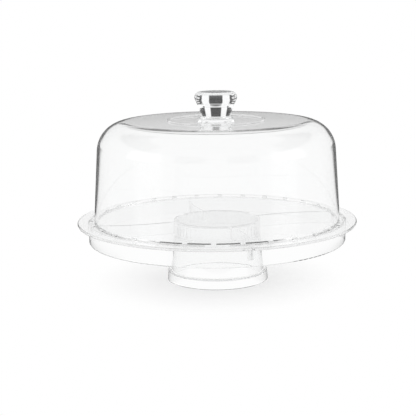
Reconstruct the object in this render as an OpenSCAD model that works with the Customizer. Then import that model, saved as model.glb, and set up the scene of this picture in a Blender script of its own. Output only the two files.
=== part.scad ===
// Clear acrylic cake stand: a dome cover with a knob, over a serving tray that
// stands flat side up on a turned-over cup. The origin is the middle of the foot.

/* [Tray] */
// Width over the flange
tray_d = 304.8; // [292:0.1:330]
// Thickness of the flat plate
plate_t = 3; // [2.6:0.1:4]
// Rounding of the flange edge
flange_edge_r = 1.2; // [0.4:0.1:1.2]
// Width of the flange beyond the skirt
flange_w = 11.4; // [8:0.1:14]
// Depth of the skirt below the plate
skirt_depth = 19; // [15:0.5:24]
// Thickness of the skirt at its lower edge
skirt_t = 2.2; // [1.8:0.1:3]
// Rounding of the skirt's lower edges
skirt_edge_r = 0.8; // [0.3:0.1:0.8]
// Thickness of the centre ring
ring_t = 2.3; // [1.8:0.1:3]

/* [Dividers] */
// Number of dividers below the plate
divider_count = 4; // [2:1:6]
// Thickness of a divider
divider_t = 2.4; // [1.8:0.1:3]
// Depth of a divider below the plate
divider_depth = 12.5; // [8:0.5:14]
// Direction of the first divider at the ring, degrees
divider_from = 17.5; // [0:0.5:60]
// Turn of a divider from the ring to the skirt, degrees
divider_turn = -4; // [-12:0.5:12]
// Bow of a divider away from a straight line
divider_bow = 7; // [3:0.5:12]
// Radius of the fillets at both ends of a divider
divider_fillet = 3.2; // [1.5:0.1:4]

/* [Nubs] */
// Number of nubs round the dome
nub_count = 30; // [12:1:36]
// Length of a nub along the circle
nub_l = 5; // [3:0.1:7]
// Thickness of a nub
nub_t = 2.6; // [2:0.1:3]
// Height of a nub above the plate
nub_h = 2.2; // [1.6:0.1:3]
// Turn of the circle of nubs, degrees
nub_turn = -1.5; // [-6:0.5:6]

/* [Dome] */
// Distance from the flange edge in to the dome rim
dome_inset = 18.2; // [14:0.1:28]
// Height of the dome over the plate
dome_h = 108; // [90:0.5:130]
// Lean of the dome side, degrees
dome_lean = 3.8; // [1:0.1:5]
// Radius of the dome shoulder
shoulder_r = 32; // [20:0.5:45]
// Wall thickness of the dome
dome_t = 2.6; // [2.2:0.1:3.2]
// Rounding of the rim's two edges
rim_edge_r = 1; // [0.3:0.1:1]
// Width of the seat ring on the dome top
seat_ring_t = 2.4; // [1.6:0.1:3]
// Height of the seat ring on the dome top
seat_ring_h = 1.6; // [1.2:0.1:3]

/* [Knob] */
// Height of the knob over the dome top
knob_h = 30.6; // [26:0.1:36]
// Width over the head
knob_head_d = 45.8; // [42:0.1:50]
// Radius of the head's rounding
knob_head_r = 6; // [4:0.1:7]
// Height of the head
knob_head_h = 14.2; // [13:0.1:16]
// Width of the head at its lower edge
knob_lip_d = 39.6; // [38:0.1:41]
// Width of the neck under the head
knob_neck_d = 38.4; // [35:0.1:39]
// Width of the waist
knob_waist_d = 32.4; // [29:0.1:34]
// Width of the base
knob_base_d = 37.4; // [36:0.1:42]
// Height of the straight edge of the base
knob_base_h = 2; // [1:0.1:2.5]
// Radius of the cove over the base
knob_cove_r = 3.4; // [2:0.1:4]
// Width of the spigot under the knob
spigot_d = 16; // [10:0.5:24]
// Depth of the spigot in the dome
spigot_depth = 1.3; // [0.8:0.1:1.5]

/* [Pedestal] */
// Height of the pedestal
pedestal_h = 64; // [54:0.5:80]
// Width over the rim band at the foot
foot_d = 111; // [104:0.5:120]
// Height of the rim band
band_h = 11; // [8:0.5:14]
// Lean of the rim band, degrees
band_lean = 6; // [2:0.5:8]
// Step from the rim band in to the wall above it
band_step = 3.1; // [1.5:0.1:4]
// Height of the shoulder under the tray ring
stem_h = 47.6; // [40:0.2:50]
// Distance from the foot of the wall in to the fluted neck
neck_inset = 6.4; // [5:0.1:9]
// Wall thickness of the pedestal
cup_t = 2.4; // [2:0.1:3]
// Rounding of the neck's closed end
neck_edge_r = 1.6; // [0.8:0.1:2]
// Number of flutes round the neck
flute_count = 48; // [24:1:60]
// Radius of a flute
flute_r = 1.1; // [0.8:0.1:1.4]
// Depth of a flute
flute_depth = 0.35; // [0.2:0.05:0.5]

/* [Fits] */
// Gap round the neck inside the tray ring
ring_gap = 0.3; // [0.2:0.05:0.6]
// Gap between the tray ring and the shoulder
shoulder_gap = 0.4; // [0.3:0.05:0.8]
// Gap between the dome rim and the nubs
nub_gap = 1.2; // [0.6:0.1:2]
// Gap round and under the spigot
spigot_gap = 0.15; // [0.1:0.05:0.3]
// Gap between the seat ring and the rim of the pedestal
seat_gap = 0.4; // [0.3:0.1:1]

/* [Hidden] */
$fn = 120;

clear = [0.93, 0.95, 0.96, 0.35];
clear_knob = [0.88, 0.91, 0.93, 0.5];
// Overlap that makes joined shapes one solid
lap = 0.2;
// Depth that a fillet's circle reaches into the faces it blends
bite = 0.03;
// Draft of moulded walls, degrees
draft = 2;
// Rounding of the upper edges of the nubs and of the seat ring
small_edge_r = 0.7;
// Rounding and rise of the ledge on top of the rim band
ledge_edge_r = 1;
ledge_rise = 0.6;

flange_r = tray_d / 2;
plate_z = pedestal_h;
tray_top_z = plate_z + plate_t;
skirt_r = flange_r - flange_w;
skirt_in_r = skirt_r - skirt_t - 2 * skirt_depth * tan(draft);

foot_r = foot_d / 2;
foot_in_r = foot_r - cup_t;
band_top_r = foot_r - band_h * tan(band_lean);
stem_r = band_top_r - band_step;
stem_foot_z = band_h + ledge_rise;
neck_r = stem_r - neck_inset;
flute_end = 2.2;

ring_in_r = neck_r + ring_gap;
ring_r = ring_in_r + ring_t;
ring_depth = pedestal_h - stem_h - shoulder_gap;

dome_r = flange_r - dome_inset;
dome_top_z = tray_top_z + dome_h;
nub_r = dome_r + nub_gap;
seat_ring_r = foot_in_r - seat_gap;

function unit(v) = v / norm(v);
function turned(v, a) = [v.x * cos(a) - v.y * sin(a), v.x * sin(a) + v.y * cos(a)];
function polar(r, a) = [r * cos(a), r * sin(a)];

// Centre of a circle of radius r that touches both edges of the corner a, p, b
function corner_centre(a, p, b, r) =
    let (u = unit(a - p), v = unit(b - p), half = acos(u * v) / 2)
    p + unit(u + v) * r / sin(half);

// Point where that circle touches the edge from p towards q
function corner_touch(p, q, c) = p + unit(q - p) * ((c - p) * unit(q - p));

// The web between the corner p and its rounding: taken off, it rounds an
// outer corner, and added, it fills an inner one
module corner_web(a, p, b, r) {
    c = corner_centre(a, p, b, r);
    beyond = p + unit(p - c) * lap;
    difference() {
        polygon([corner_touch(p, a, c), beyond, corner_touch(p, b, c), c]);
        translate(c) circle(r);
    }
}

// Where two circles cross, on the left of the line from the first to the second
function circles_cross(c1, r1, c2, r2) =
    let (d = norm(c2 - c1), along = (d * d + r1 * r1 - r2 * r2) / (2 * d))
    c1 + unit(c2 - c1) * along + turned(unit(c2 - c1), 90) * sqrt(r1 * r1 - along * along);

// Tray: the flat plate with its rounded flange edge
module plate_profile() {
    difference() {
        square([flange_r, plate_t]);
        corner_web([0, 0], [flange_r, 0], [flange_r, plate_t], flange_edge_r);
        corner_web([flange_r, 0], [flange_r, plate_t], [0, plate_t], flange_edge_r);
    }
}

// Tray: the skirt, thinner towards its rounded lower edge, and the centre ring
module skirt_profile() {
    slope = skirt_depth * tan(draft);
    low_in = [skirt_r - slope - skirt_t, -skirt_depth];
    low_out = [skirt_r - slope, -skirt_depth];
    top_out = [skirt_r, lap];
    top_in = [skirt_in_r, lap];
    difference() {
        polygon([low_in, low_out, top_out, top_in]);
        corner_web(low_in, low_out, top_out, skirt_edge_r);
        corner_web(top_in, low_in, low_out, skirt_edge_r);
    }
}

module ring_profile() {
    translate([ring_in_r, -ring_depth]) square([ring_t, ring_depth + lap]);
}

// Tray: one curved divider as an arc between the ring and the skirt
divider_start = polar(ring_r, divider_from);
divider_end = polar(skirt_in_r, divider_from + divider_turn);
divider_chord = divider_end - divider_start;
divider_arc_r = (pow(norm(divider_chord) / 2, 2) + divider_bow * divider_bow) / (2 * divider_bow);
divider_centre = (divider_start + divider_end) / 2
    + turned(unit(divider_chord), -90) * (divider_arc_r - divider_bow);

module annulus(r_in, r_out) {
    difference() {
        circle(r_out);
        circle(r_in);
    }
}

// The web between a divider's face and the wall it ends at: side 1 is the
// outer face of the arc and side -1 the inner one
module end_web(wall_r, inside, side) {
    face_r = divider_arc_r + side * divider_t / 2;
    mid_r = face_r + side * (divider_fillet - bite);
    reach_r = wall_r - inside * (divider_fillet - bite);
    c = circles_cross([0, 0], reach_r, divider_centre, mid_r);
    on_wall = unit(c) * (wall_r + inside * lap);
    on_face = divider_centre + unit(c - divider_centre) * (face_r - side * lap);
    corner = circles_cross([0, 0], wall_r + inside * lap, divider_centre, face_r - side * lap);
    difference() {
        polygon([on_wall, corner, on_face, c]);
        translate(c) circle(divider_fillet);
    }
}

module divider_plan() {
    half = norm(divider_chord) / 2 + 2 * divider_t;
    intersection() {
        translate(divider_centre)
            annulus(divider_arc_r - divider_t / 2, divider_arc_r + divider_t / 2);
        annulus(ring_r - lap, skirt_in_r + lap);
        translate((divider_start + divider_end) / 2)
            rotate(atan2(divider_chord.y, divider_chord.x))
                translate([-half, -half / 2]) square([2 * half, half]);
    }
    for (side = [-1, 1]) {
        end_web(skirt_in_r, 1, side);
        end_web(ring_r, -1, side);
    }
}

// Tray: one nub, a short stretch of a rail with rounded upper edges
module nub() {
    sweep = 2 * asin(nub_l / 2 / nub_r);
    a = [nub_r, -lap];
    b = [nub_r, nub_h];
    c = [nub_r + nub_t, nub_h];
    d = [nub_r + nub_t, -lap];
    rotate(-90 - sweep / 2) rotate_extrude(angle = sweep) difference() {
        polygon([a, b, c, d]);
        corner_web(a, b, c, small_edge_r);
        corner_web(b, c, d, small_edge_r);
    }
}

// Pedestal: outer and inner outlines of the turned-over cup, from the foot up
module pedestal_profile() {
    outer = [
        [0, 0],
        [foot_r, 0],
        [band_top_r, band_h],
        [stem_r, stem_foot_z],
        [ring_r, stem_h],
        [neck_r, stem_h],
        [neck_r, pedestal_h],
        [0, pedestal_h]
    ];
    inner = [
        [0, -lap],
        [foot_in_r, -lap],
        [foot_in_r, 0],
        [band_top_r - cup_t, band_h - cup_t],
        [stem_r - cup_t, stem_foot_z - cup_t],
        [ring_r - cup_t, stem_h - cup_t],
        [neck_r - cup_t, stem_h - cup_t],
        [neck_r - cup_t, pedestal_h - cup_t],
        [0, pedestal_h - cup_t]
    ];
    difference() {
        polygon(outer);
        polygon(inner);
        corner_web(outer[1], outer[2], outer[3], ledge_edge_r);
        corner_web(outer[5], outer[6], outer[7], neck_edge_r);
    }
}

module flute() {
    translate([neck_r + flute_r - flute_depth, 0, stem_h + flute_end])
        cylinder(r = flute_r, h = pedestal_h - stem_h - neck_edge_r - 2 * flute_end, $fn = 24);
}

// Dome: foot of the leaning side, set in from the outside by inset
function side_foot(inset) = [dome_r - inset / cos(dome_lean), 0];

// Dome: half of its form, set in from the outside by inset
module dome_form(inset) {
    r = shoulder_r - inset;
    c = [
        dome_r - (dome_h - shoulder_r) * tan(dome_lean) - shoulder_r / cos(dome_lean),
        dome_h - shoulder_r
    ];
    touch = c + polar(r, dome_lean);
    polygon([[0, 0], side_foot(inset), touch, c, c + [0, r], [0, dome_h - inset]]);
    intersection() {
        translate(c) circle(r);
        polygon([c, c + polar(2 * r, dome_lean), c + [2 * r, 2 * r], c + [0, 2 * r]]);
    }
}

module dome_profile() {
    ring_at = seat_ring_r - seat_ring_t;
    top = dome_h + seat_ring_h;
    rim_in = side_foot(dome_t);
    rim_out = side_foot(0);
    up = polar(dome_t, 90 + dome_lean);
    difference() {
        dome_form(0);
        dome_form(dome_t);
        corner_web(rim_in, rim_out, rim_out + up, rim_edge_r);
        corner_web(rim_in + up, rim_in, rim_out, rim_edge_r);
    }
    difference() {
        translate([ring_at, dome_h - lap]) square([seat_ring_t, seat_ring_h + lap]);
        corner_web([ring_at, dome_h], [ring_at, top], [seat_ring_r, top], small_edge_r);
        corner_web([ring_at, top], [seat_ring_r, top], [seat_ring_r, dome_h], small_edge_r);
    }
}

// Knob: outline of the solid knob, from the spigot up
module knob_profile() {
    lip_z = knob_h - knob_head_h;
    head_c = [knob_head_d / 2 - knob_head_r, knob_h - knob_head_r];
    lip = [knob_lip_d / 2, lip_z];
    to_lip = lip - head_c;
    reach = norm(to_lip);
    touch_a = atan2(to_lip.y, to_lip.x) + acos(knob_head_r / reach);
    touch = head_c + polar(knob_head_r, touch_a);
    waist_z = knob_base_h + knob_cove_r;
    waist = [knob_waist_d / 2, waist_z];
    neck = [knob_neck_d / 2, lip_z];
    base_r = knob_base_d / 2;
    polygon([[0, lip_z], lip, touch, head_c, head_c + [0, knob_head_r], [0, knob_h]]);
    intersection() {
        translate(head_c) circle(knob_head_r);
        translate([head_c.x, lip_z]) square([knob_head_d, knob_head_h]);
    }
    polygon([[0, waist_z - lap], waist - [0, lap], neck + [0, lap], [0, lip_z + lap]]);
    difference() {
        square([base_r, waist_z]);
        translate([knob_waist_d / 2 + knob_cove_r, waist_z]) circle(knob_cove_r);
    }
    translate([0, -spigot_depth]) square([spigot_d / 2, spigot_depth + lap]);
}

module pedestal_cup() {
    color(clear) difference() {
        rotate_extrude() pedestal_profile();
        for (i = [0 : flute_count - 1]) rotate(i * 360 / flute_count) flute();
    }
}

module serving_tray() {
    color(clear) translate([0, 0, plate_z]) {
        rotate_extrude() plate_profile();
        rotate_extrude() skirt_profile();
        rotate_extrude() ring_profile();
        for (i = [0 : divider_count - 1])
            rotate(i * 360 / divider_count)
                translate([0, 0, -divider_depth])
                    linear_extrude(divider_depth + lap) divider_plan();
        for (i = [0 : nub_count - 1])
            rotate(nub_turn + i * 360 / nub_count) translate([0, 0, plate_t]) nub();
    }
}

module dome_cover() {
    color(clear) translate([0, 0, tray_top_z]) difference() {
        rotate_extrude() dome_profile();
        translate([0, 0, dome_h - spigot_depth - spigot_gap])
            cylinder(d = spigot_d + 2 * spigot_gap, h = spigot_depth + spigot_gap + lap);
    }
}

module dome_knob() {
    color(clear_knob) translate([0, 0, dome_top_z]) rotate_extrude() knob_profile();
}

pedestal_cup();
serving_tray();
dome_cover();
dome_knob();
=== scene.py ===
import math

import bmesh
import bpy
from bpy.props import FloatProperty, FloatVectorProperty, IntProperty, PointerProperty
from bpy.types import Operator, Panel, PropertyGroup
from mathutils import Matrix, Vector


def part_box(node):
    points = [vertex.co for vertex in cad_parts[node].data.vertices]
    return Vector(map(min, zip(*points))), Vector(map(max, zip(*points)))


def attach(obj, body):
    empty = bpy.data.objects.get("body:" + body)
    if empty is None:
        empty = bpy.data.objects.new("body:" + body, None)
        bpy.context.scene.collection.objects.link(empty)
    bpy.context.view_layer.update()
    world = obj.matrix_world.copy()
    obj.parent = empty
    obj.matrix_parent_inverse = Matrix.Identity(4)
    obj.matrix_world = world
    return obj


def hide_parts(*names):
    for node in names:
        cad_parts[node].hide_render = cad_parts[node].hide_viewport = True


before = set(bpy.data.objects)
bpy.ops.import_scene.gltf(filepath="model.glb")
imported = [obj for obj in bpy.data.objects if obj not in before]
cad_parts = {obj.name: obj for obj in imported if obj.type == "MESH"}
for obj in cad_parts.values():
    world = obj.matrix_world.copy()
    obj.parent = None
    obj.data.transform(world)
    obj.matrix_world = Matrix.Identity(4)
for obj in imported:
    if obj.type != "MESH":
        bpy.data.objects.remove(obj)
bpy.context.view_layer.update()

bl_info = {
    "name": "Acrylic cake stand",
    "version": (1, 0, 0),
    "blender": (4, 5, 0),
    "location": "3D View > Sidebar > Cake stand",
    "description": "Polished clear acrylic pieces on the solids of a domed cake stand",
    "category": "Object",
}

MM = 0.001
# Air film under a piece that lifts off, and depth to which the knob's bond sinks into the dome
FILM = 0.03 * MM
# Points closer than this are one
WELD = 0.002 * MM
# Points no further than this below a flat top belong to it
LEVEL = 0.001 * MM
# An edge that folds by more than this stays crisp
CRISP = math.radians(24)
# Steps of the roundings: shoulder inside and outside, rim edge, seat ring, knob's head and cove
IN_STEPS, OUT_STEPS, EDGE_STEPS, SEAT_STEPS, HEAD_STEPS, COVE_STEPS = 24, 28, 4, 5, 24, 14

# Flow waves and wipe marks: count of waves over a metre in a wall and in the solid knob, depth
# of the marks, and how they are drawn out, turned and thinned
WALL_WAVES, KNOB_WAVES = 22.0, 60.0
WIPE_DEPTH, WIPE_COUNT = 0.015, 220.0
WIPE_STRETCH, WIPE_TURN, WIPE_SHARE = (1.0, 1.0, 0.06), (0.3, 0.5, 0.2), (0.6, 0.72)

# The floor's half width and its drop below the foot, and the reach of its rings
FLOOR_HALF, FLOOR_DROP, REACH = 20, 0.2 * MM, 5.0
# Reach of the strips' turn, which runs to a quarter turn
QUARTER = 1.8
# White of the lit floor and of the room for plain light
WHITE = 0.95
# A ray counts 2 for each wall that it passes and 1 for each mirroring. Pairs are a middle count
# and the spread round it: one wall, a few mirrorings and some more. The others are lower bounds.
ONCE, TWO_WALLS, THREE_WALLS, FAR_ROUND = 0.5, 3.5, 5.5, 60.0
ONE_WALL, FEW, SOME = (2.0, 0.5), (2.0, 1.5), (5.0, 1.5)

# Fields of the painted reflections and painted shade that only rays seen in the glass meet, as
# stops of place and tone. Rings are metres from the middle, sectors and strips are radians away
# from the far end, and bands are sines of the height above the horizon.
# On the floor, painted shade seen only in the glass: the dark found by an edge's gloss at the far
# and the near side, the dark below low edges, the dark far away, and the ring where the outer
# painted strips shine
REAR_RING = (0.19, 0.0), (0.225, 1.0)
REAR_SECTOR = (0.62, 1.0), (0.74, 0.0)
FORE_RING = (0.45, 0.0), (0.5, 0.6), (0.95, 0.6), (1.0, 0.0)
FORE_SECTOR = (2.4, 0.0), (2.52, 1.0)
BRIM_RING = (0.26, 1.0), (0.3, 0.0)
BRIM_SECTOR = (1.8, 1.0), (2.0, 0.0)
BEYOND_RING = (0.7, 0.0), (0.8, 1.0)
OUTER_RING = (2.1, 1.0), (2.4, 0.0)
# In the room, painted into what the glass shows: the bright strips, and the painted shade
# seen through the sides of the knob's neck
INNER_STRIP = (0.2, 0.0), (0.23, 1.0), (0.5, 1.0), (0.54, 0.0)
OUTER_STRIP = (0.65, 0.0), (0.69, 0.85), (0.94, 0.85), (0.99, 0.0)
INNER_BAND = (0.0, 1.0), (0.42, 1.0), (0.5, 0.0)
OUTER_BAND = (0.085, 0.0), (0.1, 1.0), (0.19, 1.0), (0.22, 0.0)
NECK_SECTOR = (0.6, 0.0), (0.64, 1.0), (1.4, 1.0), (1.5, 0.0)
NECK_BAND = (0.23, 0.0), (0.25, 1.0), (0.35, 1.0), (0.37, 0.0)
# In the room's gloss, painted reflections: the flanks, the banded dark at the far end, the dark
# over the sides, in the near corners and behind the far wall, and painted highlights of tall
# windows
WIDE_SECTOR = (0.38, 1.0), (0.52, 0.0)
PAINTED_CLOTH_SECTOR = (0.13, 1.0), (0.17, 0.0)
TOP_SECTOR = (0.5, 0.0), (0.65, 1.0), (1.75, 1.0), (1.9, 0.0)
TOP_BAND = (0.48, 0.0), (0.52, 1.0), (0.76, 1.0), (0.82, 0.0)
CORNER_SECTOR = (2.4, 0.0), (2.48, 1.0), (2.9, 1.0), (3.0, 0.0)
CORNER_BAND = (0.03, 0.0), (0.06, 1.0), (0.46, 1.0), (0.5, 0.0)
BACK_SECTOR = (0.2, 1.0), (0.26, 0.0)
BACK_BAND = (0.26, 0.0), (0.28, 1.0), (0.62, 1.0), (0.66, 0.0)
PAINTED_WINDOW_SECTOR = (1.45, 0.0), (1.65, 1.0), (2.05, 1.0), (2.2, 0.0)
PAINTED_WINDOW_BAND = (0.0, 0.0), (0.06, 1.0), (0.36, 1.0), (0.5, 0.0)

# The softboxes: place of the right one, the point that both face, width and power
LAMP_PLACE, LAMP_AIM, LAMP_WIDTH, LAMP_WATTS = (0.95, 0.41, 0.55), (0, 0, 0.1), 0.36, 1.2
# The camera's sensor, shift and clipping
SENSOR, SHIFT, CLIP = 36, (-0.0219, 0.0303), (0.05, 100)
# Bounces that light may need to find its way out of a clear wall
BOUNCES = 256

CUP_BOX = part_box("pedestal_cup")
DOME_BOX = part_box("dome_cover")
KNOB_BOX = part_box("dome_knob")


class DomeSizes(PropertyGroup):
    rim_d: FloatProperty(name="Rim width", description="Width over the rim",
                         default=DOME_BOX[1].x - DOME_BOX[0].x, unit="LENGTH")
    lean: FloatProperty(name="Side lean", description="Lean of the side towards the axis",
                        default=math.radians(3.8), subtype="ANGLE")
    shoulder_r: FloatProperty(name="Shoulder radius", description="Outer radius of the shoulder",
                              default=32 * MM, unit="LENGTH")
    wall: FloatProperty(name="Wall", description="Thickness of the wall",
                        default=2.6 * MM, unit="LENGTH")
    seat_d: FloatProperty(name="Seat ring width", description="Width over the seat ring",
                          default=105.4 * MM, unit="LENGTH")
    seat_w: FloatProperty(name="Seat ring thickness", description="Thickness of the seat ring",
                          default=2.4 * MM, unit="LENGTH")
    seat_h: FloatProperty(name="Seat ring height", description="Height of the seat ring",
                          default=1.6 * MM, unit="LENGTH")
    seat_edge_r: FloatProperty(name="Seat ring rounding",
                               description="Rounding of the seat ring's upper edges",
                               default=0.7 * MM, unit="LENGTH")
    edge_r: FloatProperty(name="Inner edge rounding",
                          description="Rounding of the rim's inner edge",
                          default=0.3 * MM, unit="LENGTH")
    bevel_h: FloatProperty(name="Bevel height",
                           description="Height of the polished bevel round the rim",
                           default=1.6 * MM, unit="LENGTH")
    bevel: FloatProperty(name="Bevel slope", description="Slope of that bevel away from upright",
                         default=math.radians(40), subtype="ANGLE")
    recess_d: FloatProperty(name="Recess width", description="Width of the recess for the spigot",
                            default=16.3 * MM, unit="LENGTH")
    recess_h: FloatProperty(name="Recess depth", description="Depth of the recess for the spigot",
                            default=1.45 * MM, unit="LENGTH")
    steps: IntProperty(name="Steps", description="Steps round the axis", default=192, min=48)


class KnobSizes(PropertyGroup):
    head_d: FloatProperty(name="Head width", description="Width over the head",
                          default=KNOB_BOX[1].x - KNOB_BOX[0].x, unit="LENGTH")
    head_r: FloatProperty(name="Head rounding", description="Radius of the head's rounding",
                          default=6 * MM, unit="LENGTH")
    head_h: FloatProperty(name="Head height", description="Height of the head",
                          default=14.2 * MM, unit="LENGTH")
    lip_d: FloatProperty(name="Lip width", description="Width of the head's lower edge",
                         default=39.6 * MM, unit="LENGTH")
    neck_d: FloatProperty(name="Neck width", description="Width of the neck under the head",
                          default=38.4 * MM, unit="LENGTH")
    waist_d: FloatProperty(name="Waist width", description="Width of the waist",
                           default=32.4 * MM, unit="LENGTH")
    waist_z: FloatProperty(name="Waist height", description="Height of the waist",
                           default=5.4 * MM, unit="LENGTH")
    base_d: FloatProperty(name="Base width", description="Width over the base",
                          default=37.4 * MM, unit="LENGTH")
    cove_r: FloatProperty(name="Cove radius", description="Radius of the cove over the base",
                          default=3.4 * MM, unit="LENGTH")
    spigot_d: FloatProperty(name="Spigot width", description="Width of the spigot",
                            default=16 * MM, unit="LENGTH")
    spigot_h: FloatProperty(name="Spigot depth", description="Depth of the spigot",
                            default=1.3 * MM, unit="LENGTH")
    steps: IntProperty(name="Steps", description="Steps round the axis", default=144, min=48)


class Finish(PropertyGroup):
    wall_tint: FloatVectorProperty(name="Wall tint", description="Tint of the clear walls",
                                   default=(0.991, 0.993, 0.993), size=3, subtype="COLOR",
                                   min=0, max=1)
    knob_tint: FloatVectorProperty(name="Knob tint", description="Tint of the solid knob",
                                   default=(0.985, 0.99, 0.992), size=3, subtype="COLOR",
                                   min=0, max=1)
    ior: FloatProperty(name="Refraction", description="Index of refraction of acrylic",
                       default=1.49)
    polish: FloatProperty(name="Polish roughness", description="Roughness of the polished face",
                          default=0.0, min=0, max=0.2)
    wave: FloatProperty(name="Flow waves", description="Height of the mould's flow waves",
                        default=0.02 * MM, unit="LENGTH", precision=6)


class StageSettings(PropertyGroup):
    distance: FloatProperty(name="Camera distance", description="From the camera to its target",
                            default=1.153, unit="LENGTH")
    elevation: FloatProperty(name="Camera elevation", description="Angle above the floor",
                             default=math.radians(11.58), subtype="ANGLE")
    target_z: FloatProperty(name="Target height", description="Height of the camera's target",
                            default=0.064, unit="LENGTH")
    lens: FloatProperty(name="Lens", description="Focal length of the camera", default=90.57)
    roll: FloatProperty(name="Camera roll", description="Turn of the camera about its own axis",
                        default=math.radians(-0.64), subtype="ANGLE")
    lift: FloatProperty(name="Floor glow", description="Share of plain white near the foot",
                        default=0.75, min=0, max=1)
    # From here on, tones of painted reflections and painted shade: the floor and the room show
    # them only to rays seen in the glass, and light the set with plain white
    painted_dark_tone: FloatProperty(name="Studio tone", description="Tone of the dark cloth round the set",
                          default=0.1, min=0, max=1)
    horizon: FloatProperty(name="Horizon tone", description="Tone of the room's far end in gloss",
                           default=0.56, min=0, max=1)
    gloss: FloatProperty(name="Gloss tone", description="Tone of the white room in gloss",
                         default=0.9, min=0, max=1)
    ceiling: FloatProperty(name="Ceiling tone", description="Tone of the ceiling in gloss",
                           default=0.8, min=0, max=1)
    dark: FloatProperty(name="Dark room tone", description="Tone of the room above the backdrop",
                        default=0.05, min=0, max=1)
    window: FloatProperty(name="Window tone", description="Tone of the tall windows in gloss",
                          default=1.8, min=0, max=4)


def node_in(tree, kind, **values):
    """Adds a node and sets its properties and, by name or number, its inputs."""
    node = tree.nodes.new(kind)
    for key, value in values.items():
        if key == "at":
            node.location = value
        elif key == "inputs":
            for name, content in value.items():
                node.inputs[name].default_value = content
        else:
            setattr(node, key, value)
    return node


def wire(tree, *pairs):
    for out, into in pairs:
        tree.links.new(out, into)


class Pen:
    """Draws a wire in the plane through the axis: x is the radius and z the height."""

    def __init__(self, bm, r, z):
        self.bm = bm
        self.vert = bm.verts.new((r, 0, z))

    def line(self, r, z):
        last, self.vert = self.vert, self.bm.verts.new((r, 0, z))
        self.bm.edges.new((last, self.vert))

    def arc(self, r, z, turn, steps):
        """Swings round the centre (r, z), positive from +x towards +z."""
        swung = bmesh.ops.spin(self.bm, geom=[self.vert], cent=(r, 0, z), axis=(0, -1, 0),
                               angle=turn, steps=steps)
        self.vert = next(g for g in swung["geom_last"] if isinstance(g, bmesh.types.BMVert))


def polished(bm, name, material):
    """Makes bm a finished piece: closed, faces outwards, smooth between its crisp edges."""
    bmesh.ops.remove_doubles(bm, verts=bm.verts, dist=WELD)
    bmesh.ops.recalc_face_normals(bm, faces=bm.faces)
    for face in bm.faces:
        face.smooth = True
    for edge in bm.edges:
        edge.smooth = len(edge.link_faces) == 2 and edge.calc_face_angle(0) < CRISP
    mesh = bpy.data.meshes.new(name)
    bm.to_mesh(mesh)
    bm.free()
    piece = bpy.data.objects.new(name, mesh)
    bpy.context.scene.collection.objects.link(piece)
    mesh.materials.append(material)
    even = piece.modifiers.new("even_normals", "WEIGHTED_NORMAL")
    even.mode = "FACE_AREA"
    even.keep_sharp = True
    return piece


def turned(bm, steps):
    """Turns the drawn wire into a closed body round the axis."""
    bmesh.ops.spin(bm, geom=bm.verts[:] + bm.edges[:], cent=(0, 0, 0), axis=(0, 0, 1),
                   angle=math.tau, steps=steps, use_merge=True)


def dress(piece, node):
    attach(piece, "root")
    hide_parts(node)


def moulding_from(node, name, material, top=None):
    """A smooth moulding on a solid's own form. A flat top at the given height sinks by FILM."""
    bm = bmesh.new()
    bm.from_mesh(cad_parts[node].data)
    bmesh.ops.remove_doubles(bm, verts=bm.verts, dist=WELD)
    if top is not None:
        face = [v for v in bm.verts if v.co.z > top - LEVEL]
        bmesh.ops.translate(bm, verts=face, vec=(0, 0, -FILM))
    return polished(bm, name, material)


def surface_group():
    """Flow waves of the mould, and hairline wipe marks, shared by the clear materials."""
    name = "moulded_polish"
    if name in bpy.data.node_groups:
        return bpy.data.node_groups[name]
    group = bpy.data.node_groups.new(name, "ShaderNodeTree")
    face = group.interface
    for label, value in (("Polish", 0.0), ("Wipe Scale", WIPE_COUNT), ("Wipe Depth", WIPE_DEPTH),
                         ("Wave Scale", WALL_WAVES)):
        socket = face.new_socket(label, in_out="INPUT", socket_type="NodeSocketFloat")
        socket.default_value = value
    for label in ("Roughness", "Height"):
        face.new_socket(label, in_out="OUTPUT", socket_type="NodeSocketFloat")
    given = node_in(group, "NodeGroupInput", at=(-900, 0))
    result = node_in(group, "NodeGroupOutput", at=(700, 0))
    place = node_in(group, "ShaderNodeTexCoord", at=(-900, 300))
    stretch = node_in(group, "ShaderNodeMapping", at=(-700, 300),
                      inputs={"Scale": WIPE_STRETCH, "Rotation": WIPE_TURN})
    wipe = node_in(group, "ShaderNodeTexNoise", at=(-500, 300), inputs={"Detail": 3.0})
    mask = node_in(group, "ShaderNodeMapRange", at=(-300, 300),
                   inputs={"From Min": WIPE_SHARE[0], "From Max": WIPE_SHARE[1]})
    depth = node_in(group, "ShaderNodeMath", at=(-100, 300), operation="MULTIPLY")
    total = node_in(group, "ShaderNodeMath", at=(100, 300), operation="ADD")
    wave = node_in(group, "ShaderNodeTexNoise", at=(-500, -100), inputs={"Detail": 1.0})
    wire(group,
         (place.outputs["Object"], stretch.inputs["Vector"]),
         (stretch.outputs["Vector"], wipe.inputs["Vector"]),
         (given.outputs["Wipe Scale"], wipe.inputs["Scale"]),
         (wipe.outputs["Fac"], mask.inputs["Value"]),
         (mask.outputs["Result"], depth.inputs[0]),
         (given.outputs["Wipe Depth"], depth.inputs[1]),
         (depth.outputs[0], total.inputs[0]),
         (given.outputs["Polish"], total.inputs[1]),
         (total.outputs[0], result.inputs["Roughness"]),
         (place.outputs["Object"], wave.inputs["Vector"]),
         (given.outputs["Wave Scale"], wave.inputs["Scale"]),
         (wave.outputs["Fac"], result.inputs["Height"]))
    return group


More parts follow.
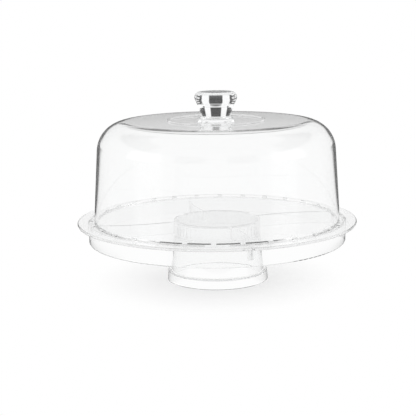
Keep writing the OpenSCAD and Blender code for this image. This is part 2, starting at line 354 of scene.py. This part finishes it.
def acrylic(name, tint, finish, waves):
    """The clear acrylic of a piece, with the count of its flow waves over a metre."""
    if name in bpy.data.materials:
        return bpy.data.materials[name]
    material = bpy.data.materials.new(name)
    material.use_nodes = True
    tree = material.node_tree
    shader = tree.nodes["Principled BSDF"]
    shader.inputs["Base Color"].default_value = (*tint, 1)
    shader.inputs["IOR"].default_value = finish.ior
    shader.inputs["Transmission Weight"].default_value = 1.0
    shader.inputs["Metallic"].default_value = 0.0
    surface = node_in(tree, "ShaderNodeGroup", at=(-600, 0))
    surface.node_tree = surface_group()
    surface.inputs["Polish"].default_value = finish.polish
    surface.inputs["Wipe Depth"].default_value = WIPE_DEPTH
    surface.inputs["Wave Scale"].default_value = waves
    bump = node_in(tree, "ShaderNodeBump", at=(-300, -200),
                   inputs={"Strength": 1.0, "Distance": finish.wave})
    wire(tree,
         (surface.outputs["Roughness"], shader.inputs["Roughness"]),
         (surface.outputs["Height"], bump.inputs["Height"]),
         (bump.outputs["Normal"], shader.inputs["Normal"]))
    return material


def wall_material():
    finish = bpy.context.scene.stand_finish
    return acrylic("clear_acrylic_wall", finish.wall_tint, finish, WALL_WAVES)


def knob_material():
    finish = bpy.context.scene.stand_finish
    return acrylic("clear_acrylic_solid", finish.knob_tint, finish, KNOB_WAVES)


class STAND_OT_cup(Operator):
    """Make the pedestal, a fluted cup turned over"""
    bl_idname = "stand.cup"
    bl_label = "Pedestal cup"

    def execute(self, context):
        piece = moulding_from("pedestal_cup", "cup_moulding", wall_material(), top=CUP_BOX[1].z)
        dress(piece, "pedestal_cup")
        return {"FINISHED"}


class STAND_OT_tray(Operator):
    """Make the serving tray with its ring, dividers and nubs"""
    bl_idname = "stand.tray"
    bl_label = "Serving tray"

    def execute(self, context):
        piece = moulding_from("serving_tray", "tray_moulding", wall_material())
        dress(piece, "serving_tray")
        return {"FINISHED"}


class STAND_OT_dome(Operator):
    """Turn the domed cover with its seat ring"""
    bl_idname = "stand.dome"
    bl_label = "Dome cover"

    def execute(self, context):
        size = context.scene.stand_dome
        foot = DOME_BOX[0].z + FILM
        top = DOME_BOX[1].z - size.seat_h
        rim_r, wall = size.rim_d / 2, size.wall
        in_r = rim_r - wall / math.cos(size.lean)
        swing = math.pi / 2 - size.lean
        edge_r, bevel_z = size.edge_r, foot + size.bevel_h
        centre_r = (rim_r - (top - bevel_z - size.shoulder_r) * math.tan(size.lean)
                    - size.shoulder_r / math.cos(size.lean))
        centre_z = top - size.shoulder_r
        seat_r, round_r = size.seat_d / 2, size.seat_edge_r
        bm = bmesh.new()
        pen = Pen(bm, 0, top - wall)
        pen.line(centre_r, top - wall)
        pen.arc(centre_r, centre_z, -swing, IN_STEPS)
        pen.line(in_r, foot + edge_r)
        pen.arc(in_r + edge_r, foot + edge_r, math.pi / 2, EDGE_STEPS)
        pen.line(rim_r - size.bevel_h * math.tan(size.bevel), foot)
        pen.line(rim_r, bevel_z)
        pen.line(centre_r + size.shoulder_r * math.cos(size.lean),
                 centre_z + size.shoulder_r * math.sin(size.lean))
        pen.arc(centre_r, centre_z, swing, OUT_STEPS)
        pen.line(seat_r, top)
        pen.line(seat_r, top + size.seat_h - round_r)
        pen.arc(seat_r - round_r, top + size.seat_h - round_r, math.pi / 2, SEAT_STEPS)
        pen.line(seat_r - size.seat_w + round_r, top + size.seat_h)
        pen.arc(seat_r - size.seat_w + round_r, top + size.seat_h - round_r, math.pi / 2,
                SEAT_STEPS)
        pen.line(seat_r - size.seat_w, top)
        pen.line(size.recess_d / 2, top)
        pen.line(size.recess_d / 2, top - size.recess_h)
        pen.line(0, top - size.recess_h)
        turned(bm, size.steps)
        dress(polished(bm, "dome_moulding", wall_material()), "dome_cover")
        return {"FINISHED"}


class STAND_OT_knob(Operator):
    """Turn the solid knob"""
    bl_idname = "stand.knob"
    bl_label = "Dome knob"

    def execute(self, context):
        size = context.scene.stand_knob
        foot = KNOB_BOX[0].z + size.spigot_h - FILM
        top = KNOB_BOX[1].z
        lip = Vector((size.lip_d / 2, top - size.head_h))
        head = Vector((size.head_d / 2 - size.head_r, top - size.head_r))
        down = lip - head
        touch = math.atan2(down.y, down.x) + math.acos(size.head_r / down.length)
        neck_r, waist_r, base_r = size.neck_d / 2, size.waist_d / 2, size.base_d / 2
        waist = foot + size.waist_z
        cove = math.acos((waist_r + size.cove_r - base_r) / size.cove_r)
        bm = bmesh.new()
        pen = Pen(bm, 0, top)
        pen.line(head.x, top)
        pen.arc(head.x, head.y, touch - math.pi / 2, HEAD_STEPS)
        pen.line(lip.x, lip.y)
        pen.line(neck_r, lip.y)
        pen.line(waist_r, waist)
        pen.arc(waist_r + size.cove_r, waist, math.pi - cove, COVE_STEPS)
        pen.line(base_r, foot)
        pen.line(size.spigot_d / 2, foot)
        pen.line(size.spigot_d / 2, foot - size.spigot_h)
        pen.line(0, foot - size.spigot_h)
        turned(bm, size.steps)
        dress(polished(bm, "knob_turning", knob_material()), "dome_knob")
        return {"FINISHED"}


class Tones:
    """The tone sums of the stage's floor and room, in one node tree."""

    def __init__(self, tree):
        self.tree = tree

    def give(self, value, socket):
        if isinstance(value, float):
            socket.default_value = value
        else:
            wire(self.tree, (value, socket))

    def ramp(self, at, source, span, *stops):
        """A ramp over 0 to span, with its stops as pairs of place and tone."""
        node = node_in(self.tree, "ShaderNodeValToRGB", at=at)
        marks = node.color_ramp.elements
        for end, (_, tone) in ((marks[0], stops[0]), (marks[1], stops[-1])):
            end.color = (tone, tone, tone, 1)
        for place, tone in stops:
            marks.new(place / span).color = (tone, tone, tone, 1)
        wire(self.tree, (source, node.inputs["Fac"]))
        return node.outputs["Color"]

    def sums(self, at, operation, *parts):
        node = node_in(self.tree, "ShaderNodeMath", at=at, operation=operation)
        for value, socket in zip(parts, node.inputs):
            self.give(value, socket)
        return node.outputs[0]

    def times(self, at, one, other):
        return self.sums(at, "MULTIPLY", one, other)

    def most(self, at, one, other):
        return self.sums(at, "MAXIMUM", one, other)

    def blend(self, at, share, low, top):
        node = node_in(self.tree, "ShaderNodeMix", at=at, data_type="FLOAT")
        for value, label in ((low, "A"), (top, "B"), (share, "Factor")):
            self.give(value, node.inputs[label])
        return node.outputs["Result"]


def stage_rays(tones):
    """Masks of the rays, by what they met on their way from the camera."""
    path = node_in(tones.tree, "ShaderNodeLightPath", at=(-1900, 700)).outputs
    gloss, clear = path["Glossy Depth"], path["Transmission Depth"]

    def test(down, operation, *parts):
        return tones.sums((-1700, down), operation, *parts)

    def both(down, one, other):
        return tones.times((-1500, down), one, other)

    mirrored = test(600, "GREATER_THAN", gloss, ONCE)
    plain = test(400, "LESS_THAN", gloss, ONCE)
    few = test(200, "COMPARE", gloss, *FEW)
    some = test(0, "COMPARE", gloss, *SOME)
    outside = test(-200, "LESS_THAN", clear, ONCE)
    one_wall = test(-400, "COMPARE", clear, *ONE_WALL)
    walls = test(-600, "GREATER_THAN", clear, TWO_WALLS)
    sharp = tones.most((-1700, 800), path["Is Camera Ray"], path["Is Glossy Ray"])
    return {
        "camera": path["Is Camera Ray"],  # straight from the camera
        # by the camera, gloss or glass
        "seen": tones.most((-1500, 800), sharp, path["Is Transmission Ray"]),
        "mirrored": mirrored,  # at least once
        "skim": both(500, mirrored, outside),  # mirrored off the first face
        "edge": both(300, few, one_wall),  # mirrored inside one wall
        "through": both(100, plain, one_wall),  # straight through one solid
        "below": both(-100, mirrored, walls),  # through two walls or more, and mirrored
        "ribs": both(-300, some, walls),  # mirrored down between the faces of a divider
        "deep": test(-800, "GREATER_THAN", clear, THREE_WALLS),  # through three walls or more
        "lost": test(-1000, "GREATER_THAN", gloss, FAR_ROUND),  # led far round inside a wall
    }


def room_turn(tones, way, at):
    """The height, the turn away from the far end, and the dark room's two painted bright strips.

    The turn runs from 0 to 1 for half a turn, and the strips repeat at every quarter."""
    left, down = at
    split = node_in(tones.tree, "ShaderNodeSeparateXYZ", at=at)
    wire(tones.tree, (way, split.inputs[0]))
    turn = tones.sums((left + 200, down), "ARCTAN2", split.outputs["X"], split.outputs["Y"])
    aside = tones.sums((left + 400, down), "ABSOLUTE", turn)
    fold = tones.sums((left + 600, down - 200), "PINGPONG", aside, math.pi / 2)
    scaled = tones.sums((left + 800, down - 200), "DIVIDE", fold, QUARTER)
    return (split.outputs["Z"],
            tones.sums((left + 600, down), "DIVIDE", aside, math.pi),
            tones.ramp((left + 1000, down - 200), scaled, QUARTER, *INNER_STRIP),
            tones.ramp((left + 1000, down - 500), scaled, QUARTER, *OUTER_STRIP))


class STAND_OT_stage(Operator):
    """Set the floor, the soft lights and the camera"""
    bl_idname = "stand.stage"
    bl_label = "Stage and camera"

    def execute(self, context):
        scene, stage = context.scene, context.scene.stand_stage
        self.floor(scene, stage)
        self.room(scene, stage)
        self.lights(scene)
        self.camera(scene, stage)
        scene.view_settings.view_transform = "Standard"
        scene.cycles.max_bounces = BOUNCES
        scene.cycles.transmission_bounces = BOUNCES
        scene.cycles.glossy_bounces = BOUNCES
        return {"FINISHED"}

    def floor(self, scene, stage):
        bm = bmesh.new()
        bmesh.ops.create_grid(bm, x_segments=1, y_segments=1, size=FLOOR_HALF)
        bmesh.ops.translate(bm, verts=bm.verts, vec=(0, 0, -FLOOR_DROP))
        mesh = bpy.data.meshes.new("floor")
        bm.to_mesh(mesh)
        bm.free()
        piece = bpy.data.objects.new("floor", mesh)
        scene.collection.objects.link(piece)
        material = bpy.data.materials.new("white_floor")
        material.use_nodes = True
        tree = material.node_tree
        tree.nodes.clear()
        tones = Tones(tree)
        times, most, blend = tones.times, tones.most, tones.blend
        rays = stage_rays(tones)
        place = node_in(tree, "ShaderNodeTexCoord", at=(-1900, -1200)).outputs["Object"]
        reach = node_in(tree, "ShaderNodeVectorMath", at=(-1700, -1200), operation="LENGTH")
        wire(tree, (place, reach.inputs[0]))
        away = tones.sums((-1500, -1200), "DIVIDE", reach.outputs["Value"], REACH)
        _, turn, inner, outer = room_turn(tones, place, (-1900, -1500))

        def ring(down, *stops):
            """A mask by the distance from the middle."""
            return tones.ramp((-900, down), away, REACH, *stops)

        def sector(down, *stops):
            """A mask by the turn away from the far end."""
            return tones.ramp((-700, down), turn, math.pi, *stops)

        # painted dark outlines, seen only in the glass: where the gloss of an edge finds the
        # floor painted dark, at the far side, and a little at the near
        single = most((-500, 100), rays["skim"], rays["edge"])
        rear = times((-500, -200), ring(-200, *REAR_RING), sector(-200, *REAR_SECTOR))
        fore = times((-500, -500), ring(-500, *FORE_RING), sector(-500, *FORE_SECTOR))
        outline = times((-100, -300), single, most((-300, -300), rear, fore))
        # painted shade below the low edges, and painted dark far away between the strips, seen
        # only in the glass
        low = times((-500, -800), ring(-800, *BRIM_RING), sector(-800, *BRIM_SECTOR))
        brim = times((-100, -600), rays["skim"], low)
        strips = most((-500, -1400), inner, times((-700, -1400), outer, ring(-1400, *OUTER_RING)))
        between = tones.sums((-300, -1400), "SUBTRACT", 1.0, strips)
        beyond = times((-300, -1100), between, ring(-1100, *BEYOND_RING))
        bent = times((-100, -900), rays["through"], beyond)
        led = most((-100, -1200), rays["lost"], rays["ribs"])
        dark = most((300, -500), most((100, -400), outline, brim), most((100, -800), bent, led))
        # painted reflection: mirrored rays find the floor a dimmer white, and the painted dark
        # tone where the masks above fall
        white = blend((300, 0), rays["mirrored"], 1.0, stage.gloss)
        tone = blend((500, -200), dark, white, stage.painted_dark_tone)
        # the camera sees the shadow round the foot, and white further out
        shade = ring(500, (0.055, stage.lift), (0.14, 1.0))
        share = times((500, 500), rays["seen"], blend((300, 500), rays["camera"], 1.0, shade))
        lit = node_in(tree, "ShaderNodeBsdfDiffuse", at=(700, 0),
                      inputs={"Color": (WHITE, WHITE, WHITE, 1)})
        glow = node_in(tree, "ShaderNodeEmission", at=(700, 200))
        mix = node_in(tree, "ShaderNodeMixShader", at=(900, 200))
        out = node_in(tree, "ShaderNodeOutputMaterial", at=(1100, 200))
        wire(tree,
             (tone, glow.inputs["Color"]),
             (share, mix.inputs["Fac"]),
             (lit.outputs[0], mix.inputs[1]),
             (glow.outputs[0], mix.inputs[2]),
             (mix.outputs[0], out.inputs["Surface"]))
        mesh.materials.append(material)

    def room(self, scene, stage):
        world = bpy.data.worlds.new("studio_room")
        scene.world = world
        world.use_nodes = True
        tree = world.node_tree
        tree.nodes.clear()
        tones = Tones(tree)
        times, most, blend = tones.times, tones.most, tones.blend
        rays = stage_rays(tones)
        dark, gloss, painted_dark_tone, horizon = stage.dark, stage.gloss, stage.painted_dark_tone, stage.horizon
        way = node_in(tree, "ShaderNodeTexCoord", at=(-2100, -1200)).outputs["Generated"]
        high, turn, inner, outer = room_turn(tones, way, (-1900, -1200))

        def band(down, *stops):
            """A tone by the height above the horizon."""
            return tones.ramp((-700, down), high, 1.0, *stops)

        def sector(down, *stops):
            """A mask by the turn away from the far end."""
            return tones.ramp((-900, down), turn, math.pi, *stops)

        def field(down, across, up):
            """A mask by both."""
            return times((-500, down), sector(down, *across), band(down, *up))

        # painted into the glass: rays seen through it find a dark room with painted bright
        # strips, for the knob and for the walls
        solid = band(0, (0.0, dark), (0.25, dark), (0.28, 1.0), (0.31, 1.0), (0.33, dark),
                     (0.37, dark), (0.4, 1.0))
        walls = band(-300, (0.05, 1.0), (0.08, dark), (0.27, dark), (0.29, 1.0))
        nubs = band(-600, (0.23, 1.0), (0.25, dark), (0.31, dark), (0.33, 1.0))
        clear = blend((-500, -300), rays["deep"], walls, nubs)
        clear = blend((-300, -100), rays["through"], clear, solid)
        # painted highlights: the bright strips that rays through the glass find
        painted_strip_glow = most((-300, -900), times((-500, -900), inner, band(-900, *INNER_BAND)),
                     times((-500, -1200), outer, band(-1200, *OUTER_BAND)))
        clear = blend((-100, -200), painted_strip_glow, clear, 1.0)
        # painted shade in the sides of the knob's neck, seen through the solid
        neck = times((-300, -1500), rays["through"], field(-1500, NECK_SECTOR, NECK_BAND))
        clear = blend((100, -200), neck, clear, dark)

        # painted reflections in the gloss: white room, with a banded dark at its far end and
        # painted highlights of tall windows at either side, none of which light the set
        room = band(600, (0.0, gloss), (0.36, gloss), (0.5, stage.ceiling))
        flank = band(900, (0.0, painted_dark_tone), (0.1, painted_dark_tone), (0.16, gloss))
        painted_cloth = band(1200, (0.0, painted_dark_tone), (0.08, painted_dark_tone), (0.094, 0.75 * horizon),
                     (0.122, 1.2 * horizon), (0.126, dark), (0.17, dark), (0.176, gloss),
                     (0.238, gloss), (0.246, dark), (0.38, dark), (0.44, gloss))
        # painted dark reflections: the flanks over a wide turn and the banded dark near the far
        # end, for skim and edge rays
        single = most((-700, 1500), rays["skim"], rays["edge"])
        wide = times((-500, 1500), single, sector(1500, *WIDE_SECTOR))
        near = times((-500, 1700), single, sector(1800, *PAINTED_CLOTH_SECTOR))
        shine = blend((-100, 900), near, blend((-300, 900), wide, room, flank), painted_cloth)
        # painted dark reflections over the sides, in the near corners and behind the far wall
        for left, mask, across, up in (
                (100, "edge", TOP_SECTOR, TOP_BAND),
                (300, "edge", CORNER_SECTOR, CORNER_BAND),
                (500, "below", BACK_SECTOR, BACK_BAND)):
            spot = times((left - 200, 1200), rays[mask], field(2000 + 2 * left, across, up))
            shine = blend((left, 900), spot, shine, dark)
        # painted highlights of tall windows, brighter than white
        shine = blend((700, 900), field(300, PAINTED_WINDOW_SECTOR, PAINTED_WINDOW_BAND), shine, stage.window)

        # the camera sees plain white, gloss and glass rays see the painted tones above, and all
        # other light from the room is plain white
        shown = blend((900, 300), rays["mirrored"], clear, shine)
        shown = blend((1100, 300), rays["lost"], shown, dark)
        shown = blend((1300, 300), rays["camera"], shown, 1.0)
        shown = blend((1500, 300), rays["seen"], WHITE, shown)
        lit = node_in(tree, "ShaderNodeBackground", at=(1700, 300))
        out = node_in(tree, "ShaderNodeOutputWorld", at=(1900, 300))
        wire(tree,
             (shown, lit.inputs["Color"]),
             (lit.outputs[0], out.inputs["Surface"]))

    def lights(self, scene):
        right, deep, high = LAMP_PLACE
        for name, side in (("left_softbox", -right), ("right_softbox", right)):
            lamp = bpy.data.lights.new(name, "AREA")
            lamp.shape = "SQUARE"
            lamp.size = LAMP_WIDTH
            lamp.energy = LAMP_WATTS
            ob = bpy.data.objects.new(name, lamp)
            scene.collection.objects.link(ob)
            ob.location = (side, deep, high)
            facing = Vector(ob.location) - Vector(LAMP_AIM)
            ob.rotation_euler = facing.to_track_quat("Z", "Y").to_euler()
            ob.visible_glossy = False
            ob.visible_transmission = False

    def camera(self, scene, stage):
        data = bpy.data.cameras.new("camera")
        data.lens = stage.lens
        data.sensor_width = SENSOR
        data.shift_x, data.shift_y = SHIFT
        data.clip_start, data.clip_end = CLIP
        ob = bpy.data.objects.new("camera", data)
        scene.collection.objects.link(ob)
        away = Vector((0, -math.cos(stage.elevation), math.sin(stage.elevation)))
        place = Vector((0, 0, stage.target_z)) + away * stage.distance
        turn = away.to_track_quat("Z", "Y").to_matrix().to_4x4()
        ob.matrix_world = Matrix.Translation(place) @ turn @ Matrix.Rotation(stage.roll, 4, "Z")
        scene.camera = ob


class STAND_PT_panel(Panel):
    """Lists the steps that make the stand"""
    bl_idname = "STAND_PT_panel"
    bl_label = "Cake stand"
    bl_space_type = "VIEW_3D"
    bl_region_type = "UI"
    bl_category = "Cake stand"

    def draw(self, context):
        layout = self.layout
        for step in STEPS:
            layout.operator(step.bl_idname)
        for group in GROUPS:
            settings = getattr(context.scene, group)
            box = layout.box()
            for key in settings.__annotations__:
                box.prop(settings, key)


GROUPS = {
    "stand_dome": DomeSizes,
    "stand_knob": KnobSizes,
    "stand_finish": Finish,
    "stand_stage": StageSettings,
}
STEPS = (STAND_OT_stage, STAND_OT_cup, STAND_OT_tray, STAND_OT_dome, STAND_OT_knob)


def register():
    for kind in (*GROUPS.values(), *STEPS, STAND_PT_panel):
        bpy.utils.register_class(kind)
    for name, kind in GROUPS.items():
        setattr(bpy.types.Scene, name, PointerProperty(type=kind))


def unregister():
    for name in GROUPS:
        delattr(bpy.types.Scene, name)
    for kind in reversed((*GROUPS.values(), *STEPS, STAND_PT_panel)):
        bpy.utils.unregister_class(kind)


def main():
    register()
    bpy.ops.stand.stage()
    bpy.ops.stand.cup()
    bpy.ops.stand.tray()
    bpy.ops.stand.dome()
    bpy.ops.stand.knob()


if __name__ == "__main__":
    main()
